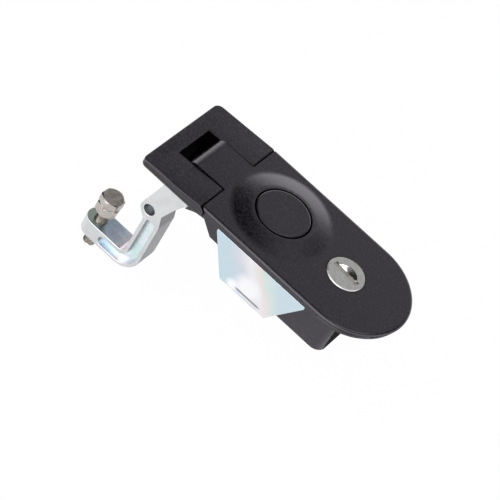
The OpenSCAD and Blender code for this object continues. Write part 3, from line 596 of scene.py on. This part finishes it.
slotShadeFinish = {  # painted shade on the walls of the key slot
    "tints": [(0.30, (0.09, 0.085, 0.08, 1)), (0.70, (0.13, 0.12, 0.115, 1))],
    "scale": 400,
    "detail": 4.0,
    "depth": 0.01 * mm,
    "strength": 0.3,
    "roughness": (0.4, 0.5),
    "specular": 0.5,
    "metallic": 1.0,
}

finishes = {
    "black_moulding": mouldedBlack(mouldedFinish),
    "black_rubber": plainFinish("sealRubber", rubberFinish),
    "plated_casting": castZinc(castFinish),
    "bright_zinc": brightSheet(sheetFinish),
    "nickel_steel": nickelSteel(nickelFinish),
    "satin_nickel": plainFinish("satinNickel", satinFinish),
    "polished_nickel": plainFinish("polishedNickel", polishFinish),
    "pin_steel": plainFinish("pinSteelAndSlotShade", pinFinish),
}
print("finishes made:", len(finishes))


# pieces: edges past the angle stay crisp in the shading, on the hexagon pieces from a smaller one
smoothing = {"angle": 40, "crisper": {"grip_bolt": 20, "lock_nut": 20}, "normalWeight": 100}


def finishPiece(bm, name, node):
    bmesh.ops.recalc_face_normals(bm, faces=bm.faces)
    mesh = bpy.data.meshes.new(name)
    bm.to_mesh(mesh)
    bm.free()
    mesh.shade_smooth()
    angle = smoothing["crisper"].get(node, smoothing["angle"])
    mesh.set_sharp_from_angle(angle=math.radians(angle))
    piece = bpy.data.objects.new(name, mesh)
    scene.collection.objects.link(piece)
    mesh.materials.append(finishes[slotOf[node]])
    if node in shaded:
        mesh.materials.append(shadeFinishes[node])
    weighted = piece.modifiers.new("weightedNormals", "WEIGHTED_NORMAL")
    weighted.keep_sharp = True
    weighted.weight = smoothing["normalWeight"]
    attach(piece, bodyOf[node])
    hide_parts(node)
    return piece


# every solid keeps its form and gets its edges broken, so that they catch the light
softened = {
    "weld": 0.002 * mm,
    "flat": 0.6,
    "sharp": 32,
    "upright": 0.99,
    "edges": {  # width in mm and steps
        "housing": (0.40, 1),
        "gasket": (0.20, 2),
        "lever": (0.16, 1),
        "push_button": (0.30, 2),
        "hook_arm": (0.40, 2),
        "mounting_bracket": (0.20, 2),
        "lock_plug": (0.08, 2),
        "keyway_plate": (0.10, 2),
        "lock_barrel": (0.15, 2),
        "lock_cam": (0.20, 2),
        "bracket_washers": (0.12, 2),
        "bracket_screws": (0.12, 2),
        "catch": (0.20, 2),
    },
    "wide": {  # the edge of the button's hole: x, y and two radii, and the width
        "lever": {"ring": (0.3, 0.0, 12.6, 13.1), "width": 0.35},
    },
    "cuts": {  # the strip of painted shadow beside the tongue's far gap: a box about the tongue, its root and the strip's edge
        "lever": {"low": (-48.0, -10.7, 5.0), "high": (-24.3, 10.7, 5.6), "root": -24.2, "across": 10.15},
    },
}


def insideBox(place, zone):
    return all(low < value < high for low, value, high in zip(zone["low"], place, zone["high"]))


def breakEdges(bm, edges, width, steps):
    bmesh.ops.bevel(bm, geom=edges, offset=width * mm, offset_type="OFFSET", segments=steps, profile=0.5,
                    affect="EDGES", clamp_overlap=False, material=-1)


def softenedCopy(node, settings):
    bm = bmesh.new()
    bm.from_mesh(nodes[node].data)
    bmesh.ops.remove_doubles(bm, verts=bm.verts, dist=settings["weld"])
    flat = math.radians(settings["flat"])
    bmesh.ops.dissolve_limit(bm, angle_limit=flat, verts=bm.verts, edges=bm.edges)
    sharp = math.radians(settings["sharp"])
    crisp = [edge for edge in bm.edges if edge.is_convex and edge.calc_face_angle() > sharp]
    if node in settings["wide"]:
        x, y, inside, outside = settings["wide"][node]["ring"]
        middle = Vector((x, y)) * mm
        ring = [edge for edge in crisp if edge.verts[0].co.z > 0
                and all(inside * mm < (vert.co.xy - middle).length < outside * mm for vert in edge.verts)]
        crisp = [edge for edge in crisp if edge not in ring]
        breakEdges(bm, ring, settings["wide"][node]["width"], 1)
        crisp = [edge for edge in crisp if edge.is_valid]
    if node in settings["edges"]:
        width, steps = settings["edges"][node]
        breakEdges(bm, crisp, width, steps)
    if node in settings["cuts"]:
        cut = settings["cuts"][node]
        for place, normal in (((cut["root"] * mm, 0, 0), (1, 0, 0)), ((0, cut["across"] * mm, 0), (0, 1, 0))):
            bm.normal_update()
            tops = [face for face in bm.faces if face.normal.z > settings["upright"]
                    and any(insideBox(vert.co / mm, cut) for vert in face.verts)]
            geom = list({item for face in tops for item in (*face.verts, *face.edges)}) + tops
            bmesh.ops.bisect_plane(bm, geom=geom, plane_co=place, plane_no=normal)
    return bm


# painted shade, where shade falls: a near-black rough finish under the head's window, in the gaps between
# head and lever and round the button, and on a strip beside the tongue's far gap, and darker walls in the key
# slot; boxes in mm, with the way the faces look, or a ring of x, y and two radii, where one is needed
lookShare = 0.5
shaded = {
    "housing": [
        {"low": (-49.2, -11.2, -17.0), "high": (-20.0, 11.2, 3.2)},
        {"low": (-26.5, -27.4, 1.0), "high": (-20.0, 27.4, 4.9), "look": (1, 0, 0)},
    ],
    "lever": [
        {"low": (-26.5, -27.4, 2.0), "high": (-20.0, 27.4, 5.25), "look": (-1, 0, 0)},
        {"low": (-14.0, -14.0, -2.0), "high": (14.0, 14.0, 9.0), "ring": (0.3, 0.0, 12.7, 13.15)},
        # painted shadow: a dark strip on the tongue's top beside its far gap
        {"low": (-48.0, 10.15, 5.0), "high": (-24.2, 10.7, 5.6)},
    ],
    "push_button": [
        {"low": (-14.0, -14.0, -2.0), "high": (14.0, 14.0, 7.2), "ring": (0.3, 0.0, 12.25, 12.7)},
    ],
    "lock_plug": [
        {"low": (27.5, -9.0, 2.0), "high": (45.5, 9.0, 5.87), "ring": (36.5, 0.0, -1.0, 8.2)},
    ],
}
shadeBlack = plainFinish("paintedShadeBlack", paintedShadeFinish)
shadeFinishes = {
    "housing": shadeBlack,
    "lever": shadeBlack,
    "push_button": shadeBlack,
    # painted shade for the key slot's walls
    "lock_plug": plainFinish("pinSteelAndSlotShade", slotShadeFinish),
}


def inZone(face, zone):
    middle = face.calc_center_median() / mm
    if not insideBox(middle, zone):
        return False
    if "look" in zone:
        return face.normal.dot(Vector(zone["look"])) > lookShare
    if "ring" in zone:
        x, y, inside, outside = zone["ring"]
        return inside < (middle.xy - Vector((x, y))).length < outside
    return True


def markShaded(bm, node):
    bm.normal_update()
    for face in bm.faces:
        if any(inZone(face, zone) for zone in shaded[node]):
            face.material_index = 1


# hexagon pieces: rings of points, each given by its radius and height at an angle
hexagon = {"across": 10 * mm, "chamferFrom": 0.96, "chamferAngle": 30, "segments": 72}
flatRadius = hexagon["chamferFrom"] * hexagon["across"] / 2  # of the round flat on an end


def hexRadius(angle, turn):
    fromFlat = (angle - math.radians(turn)) % math.radians(60) - math.radians(30)
    return hexagon["across"] / 2 / math.cos(fromFlat)


def chamferDrop(radius):
    return max(0.0, radius - flatRadius) * math.tan(math.radians(hexagon["chamferAngle"]))


def hexRing(turn, height, chamfer=0):
    # chamfer is 1 on an upper end, -1 on a lower one
    def shape(angle):
        radius = hexRadius(angle, turn)
        return radius, height - chamfer * chamferDrop(radius)
    return shape


def roundRing(radius, height):
    return lambda angle: (radius, height)


def placeRing(verts, shape):
    for vert in verts:
        angle = math.atan2(vert.co.y, vert.co.x)
        radius, height = shape(angle)
        vert.co = (radius * math.cos(angle), radius * math.sin(angle), height)


def stackRings(bm, shapes):
    # returns the edges of the first and the last ring
    verts = bmesh.ops.create_circle(bm, segments=hexagon["segments"], radius=mm)["verts"]
    first = edges = list({edge for vert in verts for edge in vert.link_edges})
    placeRing(verts, shapes[0])
    for shape in shapes[1:]:
        grown = bmesh.ops.extrude_edge_only(bm, edges=edges)["geom"]
        verts = [item for item in grown if isinstance(item, bmesh.types.BMVert)]
        fresh = set(verts)
        edges = [item for item in grown if isinstance(item, bmesh.types.BMEdge)
                 and fresh.issuperset(item.verts)]
        placeRing(verts, shape)
    return first, edges


# grip bolt: hexagon head and an M6 thread
gripBolt = {
    "turn": 27,
    "headHeight": 4.0 * mm,
    "radius": 3.0 * mm,
    "tipRadius": 2.2 * mm,
    "pitch": 1.0 * mm,
    "threadDepth": 0.54 * mm,
    "crestGap": 0.01 * mm,
    "rootFlat": 0.25,
    "crestFlat": (0.56, 0.69),
    "spareTurns": 2,
    "weld": 0.001 * mm,
    "stepsPerTurn": 36,
    "sink": 0.2 * mm,
}


def addThread(bm, settings, low, high):
    # one tooth's profile, swept up the shank and cut off at both ends
    pitch, crest = settings["pitch"], settings["radius"] - settings["crestGap"]
    root = crest - settings["threadDepth"]
    crestFrom, crestTo = settings["crestFlat"]
    profile = [(root, 0.0), (root, settings["rootFlat"]), (crest, crestFrom), (crest, crestTo), (root, 1.0)]
    start = low - settings["spareTurns"] * pitch
    verts = [bm.verts.new((radius, 0, start + share * pitch)) for radius, share in profile]
    edges = [bm.edges.new(pair) for pair in zip(verts, verts[1:])]
    turns = math.ceil((high - low) / pitch) + 2 * settings["spareTurns"]
    steps = settings["stepsPerTurn"]
    bmesh.ops.spin(bm, geom=verts + edges, cent=(0, 0, 0), axis=(0, 0, 1), dvec=(0, 0, pitch / steps),
                   angle=math.tau * turns, steps=steps * turns, use_merge=False)
    bmesh.ops.remove_doubles(bm, verts=bm.verts, dist=settings["weld"])
    for height, normal in ((low, (0, 0, -1)), (high, (0, 0, 1))):
        geom = bm.verts[:] + bm.edges[:] + bm.faces[:]
        bmesh.ops.bisect_plane(bm, geom=geom, plane_co=(0, 0, height), plane_no=normal, clear_outer=True)
    bmesh.ops.holes_fill(bm, edges=[edge for edge in bm.edges if edge.is_boundary])
    for vert in bm.verts:
        limit = settings["tipRadius"] + vert.co.z - low
        radius = vert.co.xy.length
        if radius > limit:
            vert.co.xy *= limit / radius


def boltPiece(settings):
    low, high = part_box("grip_bolt")
    middle = (low + high) / 2
    headLow = high.z - settings["headHeight"]
    bm = bmesh.new()
    addThread(bm, settings, low.z, headLow + settings["sink"])
    turn = settings["turn"]
    first, last = stackRings(bm, [
        hexRing(turn, headLow),
        hexRing(turn, high.z, 1),
        roundRing(flatRadius, high.z),
    ])
    bmesh.ops.contextual_create(bm, geom=first)
    bmesh.ops.contextual_create(bm, geom=last)
    bmesh.ops.translate(bm, verts=bm.verts, vec=(middle.x, middle.y, 0))
    return bm


# lock nut: chamfered on both ends, with a countersunk bore
lockNut = {"turn": 40, "bore": 3.0 * mm, "sinkRadius": 3.4 * mm, "sinkDepth": 0.35 * mm}


def nutPiece(settings):
    low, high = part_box("lock_nut")
    middle = (low + high) / 2
    turn, bore, sink = settings["turn"], settings["bore"], settings["sinkDepth"]
    bm = bmesh.new()
    first, last = stackRings(bm, [
        roundRing(flatRadius, low.z),
        hexRing(turn, low.z, -1),
        hexRing(turn, high.z, 1),
        roundRing(flatRadius, high.z),
        roundRing(settings["sinkRadius"], high.z),
        roundRing(bore, high.z - sink),
        roundRing(bore, low.z + sink),
        roundRing(settings["sinkRadius"], low.z),
    ])
    bmesh.ops.bridge_loops(bm, edges=first + last)
    bmesh.ops.translate(bm, verts=bm.verts, vec=(middle.x, middle.y, 0))
    return bm


for node in sorted(nodes):
    if node == "grip_bolt":
        bm = boltPiece(gripBolt)
    elif node == "lock_nut":
        bm = nutPiece(lockNut)
    else:
        bm = softenedCopy(node, softened)
    if node in shaded:
        markShaded(bm, node)
    piece = finishPiece(bm, node + "_dressed", node)
    print("piece", piece.name, len(piece.data.polygons), "faces")
